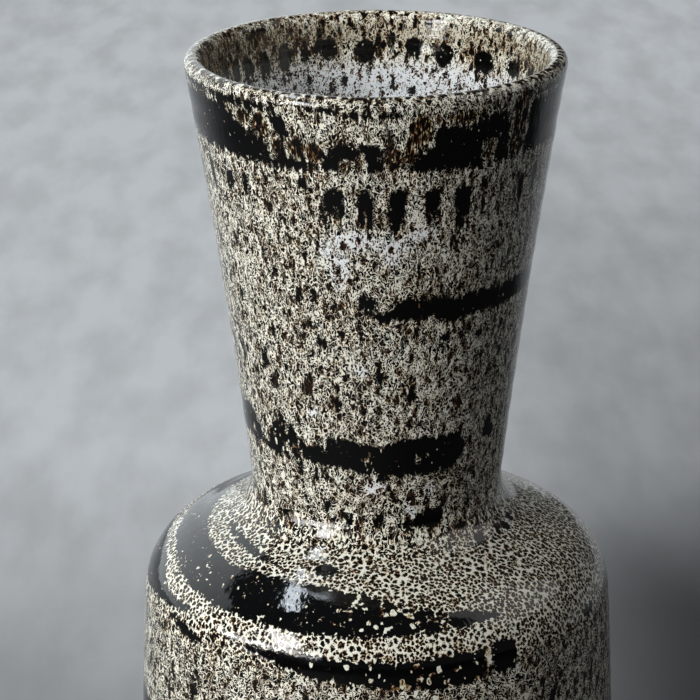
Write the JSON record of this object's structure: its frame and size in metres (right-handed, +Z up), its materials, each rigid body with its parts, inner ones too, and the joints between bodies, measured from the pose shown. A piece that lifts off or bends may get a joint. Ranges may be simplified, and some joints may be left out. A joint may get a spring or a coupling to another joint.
{
  "type": "ceramic vase",
  "caption": "Tall stoneware vase with a straight body, sloping shoulder and flared neck, luted from thrown sections and coated in black and cream reactive glaze.",
  "frame": {"origin": "centre of the foot ring, on the surface that the vase stands on", "axes": "+Z up along the vase's axis, X and Y level and alike because the form is turned"},
  "size_m": [0.18, 0.18, 0.38],
  "materials": {
    "bare_clay": "matt, fired stoneware with fine grog",
    "slip": "matt, fired slip",
    "outer_glaze": "glossy reactive glaze, cream network broken over black with amber edges",
    "inner_glaze": "glossy reactive glaze, cream and tan with dark ovals"
  },
  "bodies": {
    "root": {"foot_ring": "bare_clay", "base_disc": "bare_clay", "body_wall": "bare_clay", "base_coil": "bare_clay", "body_slip": "slip", "shoulder": "bare_clay", "neck_slip": "slip", "neck": "bare_clay", "cove_coil": "bare_clay", "rim_coil": "bare_clay", "outer_glaze": "outer_glaze", "inner_glaze": "inner_glaze"}
  },
  "joints": []
}
